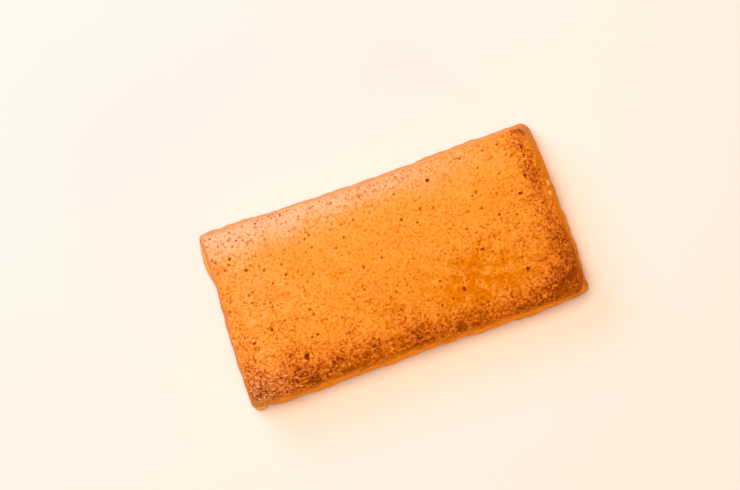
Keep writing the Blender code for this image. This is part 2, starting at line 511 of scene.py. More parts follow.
    def wall_section(self, share: Array) -> tuple[Array, Array]:
        """Follows a wall from the face's edge down to the underside.

        Args:
            share: Shares of the way, from 0 at the face to 1 at the underside.

        Returns:
            How far the outline has grown there, and the height.
        """
        edge = self.height - self.face_crown - self.shoulder_drop
        foot = self.underside_lift + self.foot_radius
        start, radius = self.rim_start, self.rim_radius
        rim = start + (self.rim_end - start) * np.clip(share / self.rim_share, 0.0, 1.0)
        grown = radius * (np.sin(rim) - math.sin(start))
        height = edge - radius * (math.cos(start) - np.cos(rim))
        top = edge - radius * (math.cos(start) - math.cos(self.rim_end))
        down = np.clip((share - self.rim_share) / (self.wall_share - self.rim_share), 0.0, 1.0)
        lip = self.lip_size * smooth_step((down - 1.0 + self.lip_share) / self.lip_share)
        turn = math.pi / 2 * np.clip((share - self.wall_share) / (1.0 - self.wall_share), 0.0, 1.0)
        grown += self.wall_lean * down + lip * np.cos(turn) - self.foot_radius * (1.0 - np.cos(turn))
        return grown, height + (foot - top) * down - self.foot_radius * np.sin(turn)

    def draw_out_of_square(self, x: Array, y: Array) -> tuple[Array, Array]:
        """Pulls the corners in, skews and bows the ends and draws the long sides in, as on the solid.

        Args:
            x: Places along the cake.
            y: Places across it.

        Returns:
            The points' new X and Y.
        """
        along = 2 * x / self.length
        across = 2 * y / self.width
        pull = self.corner_pull(x, y)
        skew = np.where(along > 0, self.right_skew, self.left_skew)
        bow = np.where(along > 0, self.right_bow, self.left_bow)
        draw = np.where(across > 0, self.far_draw, self.near_draw)
        outwards = bow * (1.0 - across * across) - skew * y - pull
        new_y = y * (1.0 - draw * (1.0 - along * along) ** 2) - across * pull
        return x + along * outwards, new_y

    def place(self, corners: Array) -> Array:
        """Places points of the two-unit cube on the smooth cake.

        Args:
            corners: The points, one in each row.

        Returns:
            Their places on the cake.
        """
        a, b, c = corners.T
        on_wall = np.maximum(np.abs(a), np.abs(b)) > 1.0 - 1e-6
        grown, wall_height = self.wall_section((1.0 - c) / 2)
        underside_grown = self.wall_section(np.ones(1))[0][0]
        grown = np.where(on_wall, grown, np.where(c > 0, 0.0, underside_grown))
        x, y = self.in_plan(a, b, grown)
        level = np.where(c > 0, self.face_height(x, y), self.underside_height(x, y))
        height = np.where(on_wall, wall_height, level)
        x, y = self.draw_out_of_square(x, y)
        return np.stack([x, y, height], axis=1)

    def off_the_table(self, height: Array) -> Array:
        """Returns 0 on the flat spot that the cake rests on, rising to 1 on the rest of the crust."""
        return smooth_step(height / self.underside_lift)

    def roughness(self, points: Array, normals: Array) -> Array:
        """Adds up the solid's swellings and crags.

        Args:
            points: The points, one in each row.
            normals: Their normals.

        Returns:
            The move of each point.
        """
        swell = lumpy(points, self.swell_size) * self.swell_height
        crag = lumpy(points, self.crag_size, Vector((7.3, 1.9, 4.1))) * self.crag_height
        crag *= 1.0 - (1.0 - self.crag_on_face) * np.abs(normals[:, 2])
        return (swell + crag) * self.off_the_table(points[:, 2])


@dataclass(frozen=True)
class Ball:
    """An uneven ball with its own half sizes, which is a crumb where it stands out and a hollow where not.

    Args:
        middle: Its place on the cake, in millimetres.
        half: Its half sizes along X, Y and Z, in millimetres.
    """

    middle: tuple[float, float, float]
    half: tuple[float, float, float]


def read_points(mesh: bpy.types.Mesh, name: str = "co") -> Array:
    """Reads a vector property of all the vertices of a mesh.

    Args:
        mesh: The mesh.
        name: The name of the property.

    Returns:
        One vector in each row.
    """
    values = np.empty(len(mesh.vertices) * 3)
    mesh.vertices.foreach_get(name, values)
    return values.reshape(-1, 3)


def write_points(mesh: bpy.types.Mesh, points: Array) -> None:
    """Moves the vertices of a mesh to these points."""
    mesh.vertices.foreach_set("co", points.ravel())
    mesh.update()


def write_field(mesh: bpy.types.Mesh, name: Field, values: Array) -> None:
    """Stores one number for each vertex under the field's name."""
    layer = mesh.attributes.get(name.value) or mesh.attributes.new(name.value, "FLOAT", "POINT")
    layer.data.foreach_set("value", np.ascontiguousarray(values, dtype=np.float32))


def read_field(mesh: bpy.types.Mesh, name: Field) -> Array:
    """Reads a field's number at each vertex.

    Args:
        mesh: The mesh.
        name: The field.

    Returns:
        The numbers.
    """
    values = np.empty(len(mesh.vertices), dtype=np.float32)
    mesh.attributes[name.value].data.foreach_get("value", values)
    return values.astype(float)


def new_object(name: str, mesh: bpy.types.Mesh) -> bpy.types.Object:
    """Puts a mesh in the scene as an object.

    Args:
        name: The object's name.
        mesh: The mesh.

    Returns:
        The object.
    """
    obj = bpy.data.objects.new(name, mesh)
    bpy.context.scene.collection.objects.link(obj)
    return obj


def grow_nodes(obj: bpy.types.Object, tree: bpy.types.NodeTree, values: dict[str, object]) -> None:
    """Runs a Geometry Nodes tree on an object and keeps the result as its plain mesh.

    Args:
        obj: The object whose mesh the tree starts from.
        tree: The tree to run.
        values: The tree's named inputs.
    """
    modifier = obj.modifiers.new(tree.name, "NODES")
    modifier.node_group = tree
    sockets = {item.name: item.identifier for item in tree.interface.items_tree if item.in_out == "INPUT"}
    for name, value in values.items():
        modifier[sockets[name]] = value
    evaluated = obj.evaluated_get(bpy.context.evaluated_depsgraph_get())
    mesh = bpy.data.meshes.new_from_object(evaluated)
    obj.modifiers.remove(modifier)
    obj.data = mesh


def new_tree(name: str, values: dict[str, object]) -> tuple[Graph, dict[str, Socket]]:
    """Starts a Geometry Nodes tree.

    Args:
        name: The tree's name.
        values: What its named inputs will be given, after the geometry.

    Returns:
        The graph, and its inputs by name with the geometry under Geometry.
    """
    tree = bpy.data.node_groups.new(name, "GeometryNodeTree")
    tree.interface.new_socket("Geometry", in_out="OUTPUT", socket_type="NodeSocketGeometry")
    tree.interface.new_socket("Geometry", in_out="INPUT", socket_type="NodeSocketGeometry")
    for label, value in values.items():
        tree.interface.new_socket(label, in_out="INPUT", socket_type=SOCKET_KINDS[type(value)])
    graph = Graph(tree)
    given = graph.add("NodeGroupInput")
    return graph, {socket.name: socket for socket in given.outputs if socket.name}


def end_tree(graph: Graph, geometry: Socket, material: Socket) -> bpy.types.NodeTree:
    """Ends a tree in smooth real mesh with its material.

    Args:
        graph: The tree's graph.
        geometry: What the tree has made.
        material: Its material.

    Returns:
        The tree.
    """
    for kind in ("GeometryNodeRealizeInstances", "GeometryNodeSetShadeSmooth"):
        geometry = graph.add(kind, {"Geometry": geometry}).outputs["Geometry"]
    dress = graph.add("GeometryNodeSetMaterial", {"Geometry": geometry, "Material": material})
    graph.add("NodeGroupOutput", {"Geometry": dress.outputs["Geometry"]})
    return graph.tree


@dataclass(frozen=True)
class Fade:
    """Something that is strongest at an edge, a corner or a spot, and fades away from it.

    Args:
        strength: How strong it is there.
        reach: Over how many millimetres it fades.
    """

    strength: float
    reach: float

    def at(self, distance: Array) -> Array:
        """Returns how strong it is at these distances in millimetres."""
        return self.strength * bell(distance, self.reach)


@dataclass(frozen=True)
class Slope:
    """Something that rises softly along one direction.

    Args:
        height: How far it rises, or falls where it is negative.
        start: Where it starts, in millimetres.
        length: Over how many millimetres it rises.
    """

    height: float
    start: float
    length: float

    def at(self, place: Array) -> Array:
        """Returns how far it has risen at these places in millimetres."""
        return self.height * smooth_step((place - self.start) / self.length)


@dataclass(frozen=True)
class Patch:
    """A patch of the face that fades outwards.

    Args:
        x: Its middle along the cake, in millimetres.
        y: Its middle across the cake.
        fade: How strong it is, and how far it reaches across the cake.
        stretch: How many times farther it reaches along the cake.
    """

    x: float
    y: float
    fade: Fade
    stretch: float = 1.0

    def over(self, spots: Spots) -> Array:
        """Returns how strong it is at the spots."""
        return self.fade.at(np.hypot((spots.x - self.x) / self.stretch, spots.y - self.y))


class Spots:
    """Points of the crust: their places, and how far they lie inside the face's edges, in millimetres."""

    def __init__(self, form: CakeForm, points: Array) -> None:
        """Works out the places and the distances.

        Args:
            form: The form of the cake.
            points: The points, one in each row, in metres.
        """
        self.points = points
        self.x, self.y = points[:, 0] / MM, points[:, 1] / MM
        half_x = (form.length / 2 - form.face_inset) / MM
        half_y = (form.width / 2 - form.face_inset) / MM
        self.left = np.maximum(self.x + half_x, 0.0)
        self.right = np.maximum(half_x - self.x, 0.0)
        self.far = np.maximum(half_y - self.y, 0.0)
        self.near = np.maximum(self.y + half_y, 0.0)

    def lumps(self, size: float, *shift: float) -> Array:
        """Returns smooth noise from about -1 to 1, with its lumps this many millimetres apart."""
        return lumpy(self.points, size * MM, Vector(shift))


@dataclass(frozen=True)
class Baking:
    """How the tin and the oven left the crust: where it is brown, pale, buttery, shiny and full of pits. It
    also holds painted light: a paler sheen along the far side and the left end, and lighter far, left and
    right rims.

    Args:
        form: The form of the cake.
    """

    form: CakeForm
    middle: float = 0.28
    far_side: Slope = Slope(-0.22, 2.0, 16.0)
    near_side: Slope = Slope(0.07, 0.0, 6.0)
    right_side: Slope = Slope(0.06, 5.0, 20.0)
    left_side: Slope = Slope(-0.10, 3.0, 25.0)
    left_edge: Fade = Fade(0.12, 5.0)
    near_edge: Fade = Fade(0.70, 6.4)
    right_edge: Fade = Fade(0.60, 4.4)
    # painted light: a less brown line along the far part of the right rim
    right_rim_light: Fade = Fade(-0.36, 1.1)
    right_rim_light_part: Slope = Slope(1.0, -8.0, 9.0)
    near_right_corner: Fade = Fade(0.24, 9.0)
    far_right_corner: Fade = Fade(0.38, 7.5)
    burnt_patch: Patch = Patch(37.8, -18.2, Fade(1.00, 3.4))
    near_left_patch: Patch = Patch(-27.0, -16.0, Fade(0.42, 6.0), 1.5)
    # painted light on the rims that face the light, as a paler colour
    lit_far_rim: Fade = Fade(0.85, 3.0)
    lit_left_rim: Fade = Fade(0.65, 3.0)
    under_middle: float = 0.30
    under_margin: Fade = Fade(0.38, 6.5)
    # painted sheen, as a paler colour, along the far side, at the left end and at the near-left corner
    far_bloom: Fade = Fade(0.85, 6.0)
    left_bloom: Fade = Fade(0.24, 19.0)
    near_left_bloom: Fade = Fade(0.50, 9.0)
    painted_sheen_slopes: tuple[Slope, Slope] = (Slope(-0.45, -5.0, 25.0), Slope(-0.38, 16.0, 18.0))
    far_gloss: Fade = Fade(1.0, 6.5)
    left_gloss: Fade = Fade(0.7, 8.0)
    other_gloss: Fade = Fade(0.5, 6.0)
    left_pits: Fade = Fade(1.0, 22.0)
    corner_pits: Fade = Fade(1.0, 13.0)
    butter_patch: Patch = Patch(18.0, -10.5, Fade(1.05, 6.0), 13.0 / 6.0)
    butter_share: float = 0.22

    def browning(self, spots: Spots) -> Array:
        """Says how brown the face is: palest at the far side, most along the near side and right end.

        Args:
            spots: The points of the crust.

        Returns:
            The browning at each, about 0 to 1.
        """
        base = self.middle + self.far_side.at(spots.y) + self.near_side.at(-spots.y)
        base += self.right_side.at(spots.x) + self.left_side.at(-spots.x) + self.left_edge.at(spots.left)
        uneven = 1.0 + 0.30 * spots.lumps(7.0, 2.1, 0.4, 5.0)
        near = self.near_edge.at(spots.near / uneven)
        right = self.right_edge.at(spots.right / uneven)
        # painted light: the right rim's far part is kept less brown
        right += self.right_rim_light.at(spots.right) * self.right_rim_light_part.at(spots.y)
        near_right = self.near_right_corner.at(np.hypot(spots.near, spots.right))
        near_right += self.burnt_patch.over(spots)
        far_right = self.far_right_corner.at(np.hypot(spots.far, spots.right))
        near_left = self.near_left_patch.over(spots)
        return base + (1.0 - base) * together(near, right, near_right, near_left, far_right)

    def lit_rims(self, spots: Spots) -> Array:
        """Returns how much painted light the far rim and the left one get, as a paler colour in place of the
        wall's orange.
        """
        return np.maximum(self.lit_far_rim.at(spots.far), self.lit_left_rim.at(spots.left))

    def down_the_wall(self, spots: Spots) -> Array:
        """Says how far down the walls the points lie.

        Args:
            spots: The points of the crust.

        Returns:
            For each, 0 on the upper part of the walls, going unevenly to 1 above the foot.
        """
        rim = self.form.height - self.form.face_crown - self.form.shoulder_drop
        uneven = 4.0 * MM * spots.lumps(2.5, 0.7, 2.9, 6.1)
        return smooth_step((0.85 * rim - spots.points[:, 2] + uneven) / (0.55 * rim))

    def under_browning(self, spots: Spots) -> Array:
        """Says how brown the underside is: golden in the middle with a browned margin.

        Args:
            spots: The points of the crust.

        Returns:
            The browning at each.
        """
        to_end, to_side = self.form.from_edges(spots.points[:, 0], spots.points[:, 1], 0.0)
        margin = self.under_margin.at(np.minimum(to_end, to_side) / MM)
        return self.under_middle + margin + 0.12 * spots.lumps(9.0, 4.0, 4.0, 0.0)

    def gloss(self, spots: Spots) -> Array:
        """Says how much the face shines: at its margins, most along the far side and the left end.

        Args:
            spots: The points of the crust.

        Returns:
            The gloss at each, from 0 to 1.
        """
        uneven = 1.0 + 0.5 * spots.lumps(6.0, 8.0, 3.0, 1.0)
        far = self.far_gloss.at(spots.far / uneven)
        left = self.left_gloss.at(spots.left / uneven)
        return together(far, left, self.other_gloss.at(spots.near), self.other_gloss.at(spots.right))

    def bloom(self, spots: Spots) -> Array:
        """Says how much painted sheen the skin gets, as a paler colour: most along the far side, less
        towards its right, a little at the left.

        Args:
            spots: The points of the crust.

        Returns:
            The painted sheen at each.
        """
        uneven = 1.0 + 0.35 * spots.lumps(6.0, 3.0, 8.0, 2.0)
        along = 1.0 + sum(slope.at(spots.x) for slope in self.painted_sheen_slopes)
        far = self.far_bloom.at(spots.far / uneven) * along
        left = self.left_bloom.at(spots.left / uneven)
        near_left = self.near_left_bloom.at(np.hypot(spots.near, spots.left))
        return np.maximum(far, left) + 0.3 * np.minimum(far, left) + near_left

    def pit_share(self, spots: Spots) -> Array:
        """Returns how thick the small pits lie: most at the left and in the far right corner."""
        corner = self.corner_pits.at(np.hypot(spots.far, spots.right))
        return 0.30 + 0.60 * np.maximum(self.left_pits.at(spots.left), corner)

    def butter(self, spots: Spots) -> Array:
        """Returns where butter shows through the crumb, most in a patch near the middle of the near side."""
        small = smooth_step((spots.lumps(8.0, 1.0, 6.0, 2.0) - 0.05) / 0.4)
        return np.clip(self.butter_patch.over(spots) + self.butter_share * small, 0.0, 1.0)


@dataclass(frozen=True)
class CrustFinish:
    """Baked almond crumb: golden in the middle, browned at the edges, grained and slightly buttery. Painted
    light is laid into its colour as sheen, glints, lit rims and the glow of the walls, and painted shade
    into its creases and pits.

    Colours are linear. Sizes of patterns are in millimetres.
    """

    name: str = "baked_crust"
    pale: Colour = (0.82, 0.390, 0.084)
    golden: Colour = (0.82, 0.355, 0.048)
    amber: Colour = (0.76, 0.300, 0.036)
    tan: Colour = (0.64, 0.196, 0.028)
    brown: Colour = (0.45, 0.102, 0.020)
    dark: Colour = (0.17, 0.038, 0.016)
    # painted sheen: the pale pinkish colour that stands in for the butter's gloss on the far shoulder
    bloom: Colour = (0.80, 0.560, 0.325)
    # the walls' own orange, made brighter to paint in the glow of light passing through the crumb
    wall: Colour = (0.92, 0.300, 0.026)
    butter: Colour = (0.60, 0.180, 0.001)
    # pale crumb: the real colour of chipped crumb, and painted light on the far and left rims
    broken: Colour = (0.90, 0.540, 0.200)
    # painted shade: the dark brown put in the pits
    pit: Colour = (0.30, 0.065, 0.008)
    # painted shade: the darker tint multiplied in between the grains
    crease_shade: Colour = (0.64, 0.340, 0.220)
    # painted glints: pale pinkish specks on the raised grains that stand in for sparkles of light
    painted_glint: Colour = (0.93, 0.560, 0.250)
    patch_size: float = 9.0
    coarse_size: float = 4.5
    mottle_size: float = 2.6
    glint_size: float = 0.60
    sand_size: float = 0.34
    rough_middle: float = 0.85
    rough_margin: float = 0.48
    bump_height: float = 0.10 * MM
    shader_values: dict[str, float | Colour] = field(default_factory=lambda: {
        "Specular IOR Level": 0.08,
        "Subsurface Weight": 0.12,
        "Subsurface Radius": (1.0, 0.35, 0.08),
        "Subsurface Scale": 0.8 * MM,
    })

    def build(self) -> bpy.types.Material:
        """Builds the material.

        Returns:
            The material.
        """
        material = bpy.data.materials.new(self.name)
        material.use_nodes = True
        graph = Graph(material.node_tree)
        shader = material.node_tree.nodes["Principled BSDF"]
        place = graph.scaled(graph.add("ShaderNodeTexCoord").outputs["Object"], 1.0 / MM)
        patch = graph.noise(place, self.patch_size, 2.0)
        mottle = graph.noise(place, self.mottle_size, 3.0, 0.6)
        grain = graph.grain(place)
        sand = graph.noise(place, self.sand_size, 1.0)
        coarse = graph.span(graph.noise(place, self.coarse_size), 0.35, 0.65, 0.85, 1.2)
        sandy = graph.total(graph.swing(grain, 0.68), graph.swing(sand, 0.42))
        browning = graph.attribute(Field.BROWNING)
        bake = graph.total(
            browning,
            graph.swing(patch, 0.20),
            graph.times(graph.swing(mottle, 0.40), graph.total(browning, 0.25)),
            graph.times(sandy, graph.times(coarse, 0.82)),
            graph.attribute(Field.TINT),
        )
        # painted shade between the grains, deeper where the crumb is browner
        low = graph.total(grain, graph.swing(sand, 0.16))
        depth = graph.times(coarse, graph.span(browning, 0.0, 1.0, 0.58, 1.15))
        crease_shade = graph.times(graph.span(low, 0.50, 0.70, 0.0, 0.45), depth)
        # painted glints: pale specks on the raised grains, where the grain noise is low
        glint_spots = graph.span(graph.noise(place, self.glint_size, 1.0), 0.45, 0.70)
        painted_glint = graph.times(graph.span(grain, 0.34, 0.50, 1.0, 0.0), glint_spots)
        graph.feed(shader.inputs["Base Color"], self.colour(graph, bake, mottle, crease_shade, painted_glint))
        graph.feed(shader.inputs["Roughness"], self.gloss(graph, mottle, sand))
        graph.feed(shader.inputs["Normal"], self.bump(graph, grain, sand))
        for name, value in self.shader_values.items():
            shader.inputs[name].default_value = value
        return material

    def colour(self, graph: Graph, bake: Socket, mottle: Socket, crease_shade: Socket, painted_glint: Socket) -> Socket:
        """Returns the colour of the crumb.

        Args:
            graph: The material's graph.
            bake: How far the crumb is baked there.
            mottle: The noise of the crumb's mottling.
            crease_shade: How much painted shade the point gets for lying deep between the grains.
            painted_glint: How strongly a painted glint lies on the point, on the raised grains.

        Returns:
            The colour, from browned skin with its painted glints to pale broken crumb, with painted light on
            the far and left rims and painted shade in the pits.
        """
        face = graph.ramp(bake, {
            0.00: self.pale,
            0.20: self.golden,
            0.40: self.amber,
            0.60: self.tan,
            0.80: self.brown,
            1.00: self.dark,
        })
        colour = graph.blend(graph.attribute(Field.WALL), face, self.wall)
        butter = graph.times(graph.attribute(Field.BUTTER), graph.span(mottle, 0.35, 0.6))
        colour = graph.blend(butter, colour, self.butter)
        # painted sheen: the far shoulder, the left end and the near-left corner turn paler, most where the
        # crumb is least baked
        bloom = graph.attribute(Field.BLOOM)
        painted_sheen_share = graph.times(bloom, graph.span(bake, -0.20, 0.34, 1.3, 0.35))
        colour = graph.blend(graph.span(painted_sheen_share, 0.0, 1.0, 0.0, 0.90), colour, self.bloom)
        # pale crumb at the chips, and painted light on the far and left rims
        colour = graph.blend(graph.attribute(Field.BROKEN), colour, self.broken)
        # painted shade in the creases, deepened in the painted sheen
        deeper_crease_shade = graph.math("MULTIPLY", crease_shade, graph.total(1.0, graph.times(bloom, 3.2)), True)
        colour = graph.blend(deeper_crease_shade, colour, self.crease_shade, "MULTIPLY")
        # painted glints, most in the painted sheen
        share = graph.math("MULTIPLY", painted_glint, graph.total(0.14, graph.times(bloom, 1.8)), True)
        colour = graph.blend(share, colour, self.painted_glint)
        # painted shade in the pits
        return graph.blend(graph.attribute(Field.PIT), colour, self.pit)

    def gloss(self, graph: Graph, mottle: Socket, sand: Socket) -> Socket:
        """Returns the roughness: the face's margins shine with butter, its middle and the walls are dry."""
        shine = graph.times(graph.attribute(Field.GLOSS), self.rough_margin - self.rough_middle)
        return graph.total(self.rough_middle, shine, graph.swing(mottle, 0.10), graph.swing(sand, 0.10))

    def bump(self, graph: Graph, grain: Socket, sand: Socket) -> Socket:
        """Returns the normal bent by the relief that is finer than the mesh: browner grains lie deeper."""
        inputs = {"Distance": self.bump_height, "Height": graph.total(graph.times(grain, 2.0), sand)}
        return graph.add("ShaderNodeBump", inputs | {"Strength": 1.0}, invert=True).outputs["Normal"]


@dataclass
class Crust:
    """The cake's whole outside: face, shoulders, walls, foot and underside, as one closed mesh."""

    form: CakeForm
    name: str = "crust"
    chips: dict[str, Ball] = field(default_factory=lambda: {
        "end_lip_chip": Ball((-42.6, 8.3, 3.5), (2.3, 2.3, 9.0)),
        "end_shoulder_chip": Ball((43.4, 4.9, 14.2), (2.4, 2.3, 2.3)),
        "near_lip_chip": Ball((-30.6, -22.6, 2.8), (1.8, 1.05, 2.2)),
    })
    bubbles_mm: tuple[tuple[float, float, float, float], ...] = (
        (-25.8, -14.0, 0.62, 0.92),
        (30.4, -11.7, 0.55, 0.55),
        (-32.6, 10.1, 0.50, 0.46),
        (38.6, 16.1, 0.55, 0.48),
        (37.1, 9.4, 0.60, 0.42),
        (34.6, 5.7, 0.62, 0.36),
        (14.9, 15.9, 0.60, 0.48),
        (21.8, -3.7, 0.56, 0.44),
        (14.6, -11.2, 0.40, 0.66),
        (-31.5, -5.2, 0.50, 0.54),
        (-36.6, -6.9, 0.56, 0.42),
        (-35.6, 13.8, 0.52, 0.48),
    )
    small_bubbles: int = 16
    small_radius_mm: tuple[float, float] = (0.32, 0.44)
    small_spacing: float = 3.4 * MM
    bubble_depth: float = 0.9
    bubble_seed: int = 11
    pit_edge: float = 0.55 * MM
    chip_edge: float = 0.25 * MM
    face_share: float = 0.25
    foot_share: float = 0.90
    upper_wall: float = 0.26
    lower_wall: float = 0.95
    # painted glow: the wall colour reaches higher up the far part of the right end
    lit_end: Fade = Fade(0.36, 2.0)
    lit_part: Slope = Slope(1.0, -9.0, 8.0)
    burnt_corner: Fade = Fade(0.6, 9.0)

    def build(self) -> bpy.types.Object:
        """Builds the whole crust.

        Returns:
            Its object.
        """
        mesh = self.block()
        self.write_zones(mesh)
        write_points(mesh, self.form.place(read_points(mesh)))
        self.roughen(mesh)
        self.write_fields(mesh)
        self.press(mesh)
        return new_object(self.name, mesh)

    def block(self) -> bpy.types.Mesh:
        """Cuts a two-unit cube into the form's cells.

        Returns:
            Its mesh.
        """
        bm = bmesh.new()
        bmesh.ops.create_cube(bm, size=2.0)
        for axis, cells in enumerate(self.form.cells):
            edges = [e for e in bm.edges if abs(e.verts[0].co[axis] - e.verts[1].co[axis]) > 1e-6]
            bmesh.ops.subdivide_edges(bm, edges=edges, cuts=cells - 1, use_grid_fill=True)
        mesh = bpy.data.meshes.new(self.name)
        bm.to_mesh(mesh)
        bm.free()
        return mesh

    def write_zones(self, mesh: bpy.types.Mesh) -> None:
        """Notes for each face of the two-unit cube which piece of the crust it will belong to.

        Args:
            mesh: The mesh of the cube.
        """
        middles = np.empty(len(mesh.polygons) * 3)
        mesh.polygons.foreach_get("center", middles)
        share = (1.0 - middles[2::3]) / 2
        zones = np.full(len(share), Zone.WALLS.value)
        zones[share < self.face_share] = Zone.FACE.value
        zones[share > self.foot_share] = Zone.UNDERSIDE.value
        layer = mesh.attributes.new(Field.ZONE.value, "INT", "FACE")
        layer.data.foreach_set("value", zones.astype(np.int32))

    def small_places(self, rng: random.Random) -> list[Vector]:
        """Finds places for the small bubbles by the solid's own rule.

        Args:
            rng: The solid's generator.

        Returns:
            The places in plan.
        """
        taken = [Vector((x, y)) * MM for x, y, _, _ in self.bubbles_mm]
        listed = len(taken)
        reach = (self.form.length / 2 - 3 * MM, self.form.width / 2 - 3 * MM)
        while len(taken) < listed + self.small_bubbles:
            end = math.copysign(math.sqrt(rng.random()), rng.random() - 0.5)
            spot = Vector((end * reach[0], rng.uniform(-1.0, 1.0) * reach[1]))
            if all((spot - other).length > self.small_spacing for other in taken):
                taken.append(spot)
        return taken[listed:]

    def bubbles(self) -> list[Ball]:
        """Gathers the burst bubbles of the face.

        Returns:
            One ball for each, whose widest section lies in the face.
        """
        rng = random.Random(self.bubble_seed)
        # the solid draws the shape of each lump from the same generator, vertex by vertex
        for _ in self.bubbles_mm:
            self.skip_lump(rng)
        sizes = list(self.bubbles_mm)
        for spot in self.small_places(rng):
            radius = rng.uniform(*self.small_radius_mm)
            sizes.append((spot.x / MM, spot.y / MM, radius, radius))
            self.skip_lump(rng)
        return [self.bubble(*size) for size in sizes]

    @staticmethod
    def skip_lump(rng: random.Random) -> None:
        """Takes the draws that the solid's rule spends on one lump of 42 vertices."""
        for _ in range(42):
            rng.uniform(0.88, 1.10)

    def bubble(self, x: float, y: float, half_x: float, half_y: float) -> Ball:
        """Returns the ball of one bubble, from its place and half sizes in millimetres."""
        height = float(self.form.face_height(np.array([x * MM]), np.array([y * MM]))[0]) / MM
        return Ball((x, y, height), (half_x, half_y, self.bubble_depth * (half_x + half_y)))

    def roughen(self, mesh: bpy.types.Mesh) -> None:
        """Moves the crust in and out as the solid's swellings and crags do.

        Args:
            mesh: The mesh of the crust.
        """
        points = read_points(mesh)
        normals = read_points(mesh, "normal")
        write_points(mesh, points + normals * self.form.roughness(points, normals)[:, None])

    def press(self, mesh: bpy.types.Mesh) -> None:
        """Presses the bubbles and chips into the crust, and stores how deep each point went.

        Args:
            mesh: The mesh of the crust.
        """
        points = read_points(mesh)
        normals = read_points(mesh, "normal")
        depth = np.zeros(len(points))
        for ball in self.bubbles():
            depth = np.maximum(depth, self.depth_in(ball, points, normals))
        # painted shade: the deeper a point lies in a bubble, the more pit colour it gets
        pit = smooth_step(depth / self.pit_edge)
        # the chips show real broken crumb; this share joins the painted light on the rims in one field
        broken = np.zeros(len(points))
        for ball in self.chips.values():
            sunk = self.depth_in(ball, points, normals)
            broken = np.maximum(broken, smooth_step(sunk / self.chip_edge))
            depth = np.maximum(depth, sunk)
        write_points(mesh, points - normals * depth[:, None])
        write_field(mesh, Field.PIT, pit)
        write_field(mesh, Field.BROKEN, np.maximum(0.7 * broken, read_field(mesh, Field.BROKEN)))

    @staticmethod
    def depth_in(ball: Ball, points: Array, normals: Array) -> Array:
        """Says how far points in a ball go inwards to lie on its far side.

        Args:
            ball: The ball.
            points: The points, one in each row.
            normals: Their normals.

        Returns:
            The depth for each point.
        """
        half = np.array(ball.half) * MM
        start = (points - np.array(ball.middle) * MM) / half
        depth = np.zeros(len(points))
        inside = np.flatnonzero((start**2).sum(axis=1) < 1.0)
        uneven = 1.0 + 0.16 * lumpy(points[inside], 0.55 * MM)
        start = start[inside] * uneven[:, None]
        step = -normals[inside] / half
        along = (start * step).sum(axis=1)
        square = (step**2).sum(axis=1)
        room = np.maximum(1.0 - (start**2).sum(axis=1), 0.0)
        depth[inside] = (-along + np.sqrt(along**2 + square * room)) / square * np.sqrt(room)
        return depth

    def write_fields(self, mesh: bpy.types.Mesh) -> None:
        """Stores how the crust is baked at each point, for the finish and the node trees.

        Args:
            mesh: The mesh of the crust.
        """
        points = read_points(mesh)
        up = read_points(mesh, "normal")[:, 2]
        baking = Baking(self.form)
        spots = Spots(self.form, points)
        soft = 0.22 * spots.lumps(1.3, 5.0, 1.0, 3.0)
        wall = smooth_step((0.84 + soft - up) / 0.55) * smooth_step((up + 0.75) / 0.35)
        under = smooth_step((-up - 0.35) / 0.4)
        level = smooth_step((up - 0.80) / 0.15)
        face = 1.0 - np.clip(wall + under, 0.0, 1.0)
        free = self.form.off_the_table(points[:, 2])
        browning = (1.0 - under) * baking.browning(spots) + under * baking.under_browning(spots)
        down = baking.down_the_wall(spots)
        # painted light on the far and left rims
        lit_rims = baking.lit_rims(spots) * (1.0 - under)
        lit = self.upper_wall + self.lit_end.at(spots.right) * self.lit_part.at(spots.y)
        burnt = self.burnt_corner.at(np.hypot(spots.near, spots.right))
        fields = {
            Field.BROWNING: browning - 0.35 * wall * down,
            # the wall colour, partly painted glow: most on the lower walls and up the right end, less at the
            # burnt corner and the lit rims
            Field.WALL: wall * (lit + (self.lower_wall - lit) * down) * (1.0 - burnt) * (1.0 - lit_rims),
            # painted light: the far and left walls turn to the pale crumb colour, most near the rim
            Field.BROKEN: (0.60 - 0.40 * down) * wall * lit_rims,
            Field.FREE: free,
            Field.PIT_SHARE: face * baking.pit_share(spots) + 0.12 * wall + 0.25 * under,
            Field.GRAIN_SHARE: (1.0 - 0.55 * wall - 0.4 * under) * free,
            Field.BUTTER: face * baking.butter(spots),
            Field.GLOSS: level * baking.gloss(spots),
            # painted sheen, kept off the underside and the lower walls
            Field.BLOOM: (1.0 - under) * (1.0 - (0.10 + 0.65 * down) * wall) * baking.bloom(spots),
            Field.TINT: np.zeros(len(points)),
        }
        for name, values in fields.items():
            write_field(mesh, name, values)

    def part(self, crust: bpy.types.Object) -> list[bpy.types.Object]:
        """Parts the finished crust into its zones, with the same normals on both sides of each seam.

        Args:
            crust: The whole crust, which is removed.

        Returns:
            One object for each zone, named for it.
        """
        whole = crust.data
        normals = read_points(whole, "normal")
        pieces = []
        for zone in Zone:
            bm = bmesh.new()
            bm.from_mesh(whole)
            layer = bm.faces.layers.int[Field.ZONE.value]
            others = [face for face in bm.faces if face[layer] != zone.value]
            bmesh.ops.delete(bm, geom=others, context="FACES")
            mesh = whole.copy()
            bm.to_mesh(mesh)
            bm.free()
            kept = self.used_points(whole, zone)
            mesh.normals_split_custom_set_from_vertices(normals[kept].tolist())
            pieces.append(new_object(f"{self.name}_{zone.name.lower()}", mesh))
        bpy.data.objects.remove(crust)
        return pieces

